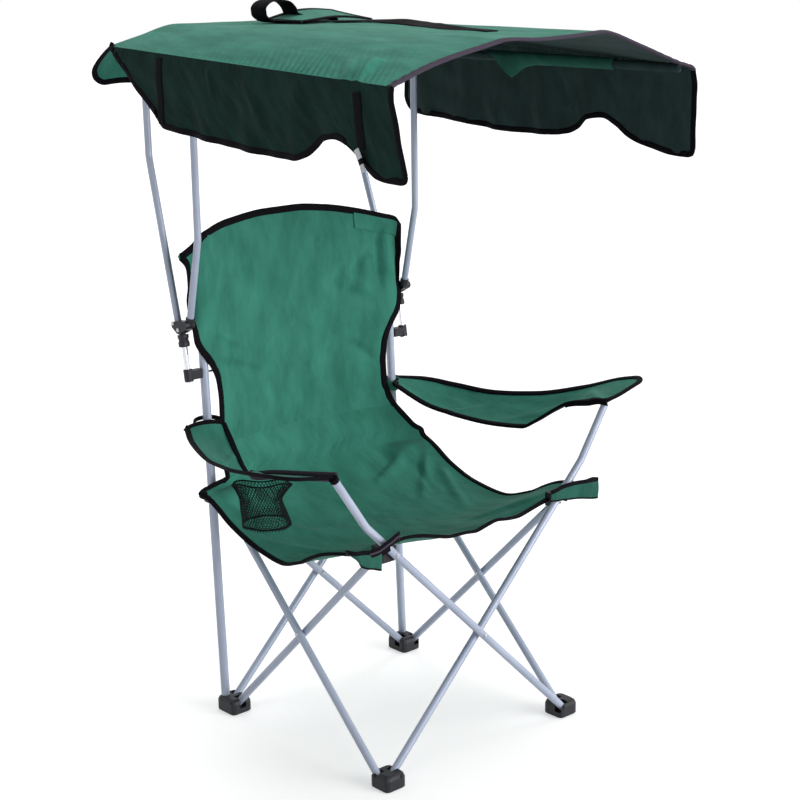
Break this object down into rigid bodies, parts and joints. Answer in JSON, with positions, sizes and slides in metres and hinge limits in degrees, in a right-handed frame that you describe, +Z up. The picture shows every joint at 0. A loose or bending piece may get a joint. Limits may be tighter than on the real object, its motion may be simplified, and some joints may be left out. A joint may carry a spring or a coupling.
{
  "type": "folding camp chair with canopy",
  "caption": "Folding camp chair: crossed-bar frame, slung fabric seat and back, sling armrests, a mesh cup holder and a tilting fabric sun canopy on two rod pairs.",
  "frame": {"origin": "on the floor under the middle of the chair, halfway between the four feet", "axes": "+Z up; the sitter faces -Y; the sitter's left hand is toward +X"},
  "size_m": [1.0056, 0.9362, 1.545],
  "materials": {
    "paint": "grey-blue powder coat",
    "plastic": "black moulded plastic",
    "plated": "bright plating",
    "steel": "plain steel",
    "green_cloth": "green coated woven cloth with dark binding",
    "dark_cloth": "very dark green woven cloth",
    "mesh_cloth": "black open mesh"
  },
  "bodies": {
    "rear_right": {"rear_foot_right": "plastic", "back_post_right": "paint", "post_plug_right": "plastic", "canopy_clamp_right": "plastic", "clamp_screw_right": "steel", "back_cloth": "green_cloth"},
    "right_rear_bar": {"side_bar_right_rear": "paint", "rivet_right": "steel"},
    "right_front_bracket": {"seat_bracket_right": "plastic", "seat_bolt_right": "steel"},
    "right_front_bar": {"side_bar_right_front": "paint"},
    "rear_right_collar": {"rear_collar_right": "plastic"},
    "front_right_foot": {"front_foot_right": "plastic"},
    "left_arm_bar": {"front_bar_left_arm": "paint", "arm_post_plug_left": "plastic", "rivet_front": "steel"},
    "left_front_bracket": {"seat_bracket_left": "plastic", "seat_bolt_left": "steel"},
    "right_arm_bar": {"front_bar_right_arm": "paint", "arm_post_plug_right": "plastic"},
    "front_left_foot": {"front_foot_left": "plastic"},
    "left_front_bar": {"side_bar_left_front": "paint", "rivet_left": "steel"},
    "left_rear_bar": {"side_bar_left_rear": "paint"},
    "back_outer_bar": {"back_bar_outer": "paint", "rivet_back": "steel"},
    "rear_left_collar": {"rear_collar_left": "plastic"},
    "back_inner_bar": {"back_bar_inner": "paint"},
    "rear_left": {"rear_foot_left": "plastic", "back_post_left": "paint", "post_plug_left": "plastic", "canopy_clamp_left": "plastic", "clamp_screw_left": "steel"},
    "right_armrest": {"armrest_right": "green_cloth", "cup_holder": "mesh_cloth"},
    "left_armrest": {"armrest_left": "green_cloth"},
    "seat_rear": {"seat_cloth_rear": "green_cloth"},
    "seat_front": {"seat_cloth_front": "green_cloth"},
    "right_carrier": {"canopy_stub_right": "plated", "pivot_base_right": "plastic"},
    "left_carrier": {"canopy_stub_left": "plated", "pivot_base_left": "plastic"},
    "right_head": {"swivel_head_right": "plastic", "tilt_bolt_right": "steel", "rod_pin_right": "steel", "front_rod_right": "paint", "rear_rod_right": "paint", "canopy_top": "green_cloth", "valance_right": "dark_cloth", "valance_left": "dark_cloth", "rear_flap": "green_cloth", "carry_strap_right": "dark_cloth", "carry_strap_left": "dark_cloth", "canopy_pocket": "green_cloth"},
    "left_head": {"swivel_head_left": "plastic", "tilt_bolt_left": "steel", "rod_pin_left": "steel", "front_rod_left": "paint", "rear_rod_left": "paint"}
  },
  "joints": [
    {"name": "fold", "type": "hinge", "parent": "rear_right", "child": "right_rear_bar", "pos_m": [-0.2515, 0.238, 0.026], "axis": [-1, 0, 0], "range_deg": [0, 39.1], "deforming": ["armrest_right", "armrest_left", "seat_cloth_rear", "seat_cloth_front", "back_cloth", "canopy_top", "valance_right", "valance_left", "rear_flap", "carry_strap_right", "carry_strap_left", "canopy_pocket", "cup_holder"]},
    {"name": "right_bracket_turn", "type": "hinge", "parent": "right_rear_bar", "child": "right_front_bracket", "pos_m": [-0.2515, -0.238, 0.492], "axis": [1, 0, 0], "range_deg": [0, 39.1]},
    {"name": "right_cross", "type": "hinge", "parent": "right_rear_bar", "child": "right_front_bar", "pos_m": [-0.26, 0, 0.259], "axis": [1, 0, 0], "range_deg": [0, 78.21]},
    {"name": "right_collar_turn", "type": "hinge", "parent": "right_front_bar", "child": "rear_right_collar", "pos_m": [-0.2685, 0.238, 0.492], "axis": [-1, 0, 0], "range_deg": [0, 39.1]},
    {"name": "front_right_foot_turn", "type": "hinge", "parent": "right_front_bar", "child": "front_right_foot", "pos_m": [-0.2685, -0.238, 0.026], "axis": [-1, 0, 0], "range_deg": [0, 39.1]},
    {"name": "front_bar_turn", "type": "hinge", "parent": "front_right_foot", "child": "left_arm_bar", "pos_m": [-0.238, -0.2515, 0.026], "axis": [0, -1, 0], "range_deg": [0, 39.1]},
    {"name": "left_bracket_turn", "type": "hinge", "parent": "left_arm_bar", "child": "left_front_bracket", "pos_m": [0.238, -0.2515, 0.492], "axis": [0, 1, 0], "range_deg": [0, 39.1]},
    {"name": "front_cross", "type": "hinge", "parent": "left_arm_bar", "child": "right_arm_bar", "pos_m": [0, -0.26, 0.259], "axis": [0, 1, 0], "range_deg": [0, 78.21]},
    {"name": "front_left_foot_turn", "type": "hinge", "parent": "right_arm_bar", "child": "front_left_foot", "pos_m": [0.238, -0.2685, 0.026], "axis": [0, -1, 0], "range_deg": [0, 39.1]},
    {"name": "left_bar_turn", "type": "hinge", "parent": "front_left_foot", "child": "left_front_bar", "pos_m": [0.2515, -0.238, 0.026], "axis": [1, 0, 0], "range_deg": [0, 39.1]},
    {"name": "left_cross", "type": "hinge", "parent": "left_front_bar", "child": "left_rear_bar", "pos_m": [0.26, 0, 0.259], "axis": [-1, 0, 0], "range_deg": [0, 78.21]},
    {"name": "back_bar_turn", "type": "hinge", "parent": "rear_right", "child": "back_outer_bar", "pos_m": [-0.238, 0.2685, 0.026], "axis": [0, -1, 0], "range_deg": [0, 39.1]},
    {"name": "left_collar_turn", "type": "hinge", "parent": "back_outer_bar", "child": "rear_left_collar", "pos_m": [0.238, 0.2685, 0.492], "axis": [0, 1, 0], "range_deg": [0, 39.1]},
    {"name": "back_cross", "type": "hinge", "parent": "back_outer_bar", "child": "back_inner_bar", "pos_m": [0, 0.26, 0.259], "axis": [0, 1, 0], "range_deg": [0, 78.21]},
    {"name": "rear_left_turn", "type": "hinge", "parent": "back_inner_bar", "child": "rear_left", "pos_m": [0.238, 0.2515, 0.026], "axis": [0, -1, 0], "range_deg": [0, 39.1]},
    {"name": "right_armrest_rise", "type": "hinge", "parent": "rear_right", "child": "right_armrest", "pos_m": [-0.264, 0.2977, 0.649], "axis": [-1, 0, 0], "range_deg": [0, 57.21]},
    {"name": "left_armrest_rise", "type": "hinge", "parent": "rear_left", "child": "left_armrest", "pos_m": [0.264, 0.2977, 0.649], "axis": [-1, 0, 0], "range_deg": [0, 57.21]},
    {"name": "seat_rear_droop", "type": "hinge", "parent": "rear_right_collar", "child": "seat_rear", "pos_m": [-0.26, 0.25, 0.51], "axis": [1, 0, 0], "range_deg": [0, 77.04]},
    {"name": "seat_front_droop", "type": "hinge", "parent": "right_front_bracket", "child": "seat_front", "pos_m": [-0.26, -0.225, 0.5], "axis": [-1, 0, 0], "range_deg": [0, 77.04]},
    {"name": "canopy_height", "type": "slide", "parent": "rear_right", "child": "right_carrier", "axis": [0, 0.1564, 0.9877], "range_m": [-0.035, 0]},
    {"name": "canopy_height_left", "type": "slide", "parent": "rear_left", "child": "left_carrier", "axis": [0, 0.1564, 0.9877], "range_m": [-0.035, 0]},
    {"name": "canopy_tilt", "type": "hinge", "parent": "right_carrier", "child": "right_head", "pos_m": [-0.305, 0.31754, 0.85979], "axis": [1, 0, 0], "range_deg": [-6, 15]},
    {"name": "canopy_tilt_left", "type": "hinge", "parent": "left_carrier", "child": "left_head", "pos_m": [0.305, 0.31754, 0.85979], "axis": [1, 0, 0], "range_deg": [-6, 15]}
  ],
  "couplings": [
    {"joint": "right_bracket_turn", "follows": "fold", "ratio": 1},
    {"joint": "right_cross", "follows": "fold", "ratio": 2},
    {"joint": "right_collar_turn", "follows": "fold", "ratio": 1},
    {"joint": "front_right_foot_turn", "follows": "fold", "ratio": 1},
    {"joint": "front_bar_turn", "follows": "fold", "ratio": 1},
    {"joint": "left_bracket_turn", "follows": "fold", "ratio": 1},
    {"joint": "front_cross", "follows": "fold", "ratio": 2},
    {"joint": "front_left_foot_turn", "follows": "fold", "ratio": 1},
    {"joint": "left_bar_turn", "follows": "fold", "ratio": 1},
    {"joint": "left_cross", "follows": "fold", "ratio": 2},
    {"joint": "back_bar_turn", "follows": "fold", "ratio": 1},
    {"joint": "left_collar_turn", "follows": "fold", "ratio": 1},
    {"joint": "back_cross", "follows": "fold", "ratio": 2},
    {"joint": "rear_left_turn", "follows": "fold", "ratio": 1},
    {"joint": "right_armrest_rise", "follows": "fold", "ratio": 1.463},
    {"joint": "left_armrest_rise", "follows": "fold", "ratio": 1.463},
    {"joint": "seat_rear_droop", "follows": "fold", "ratio": 1.97},
    {"joint": "seat_front_droop", "follows": "fold", "ratio": 1.97},
    {"joint": "canopy_height_left", "follows": "canopy_height", "ratio": 1},
    {"joint": "canopy_tilt_left", "follows": "canopy_tilt", "ratio": 1}
  ]
}
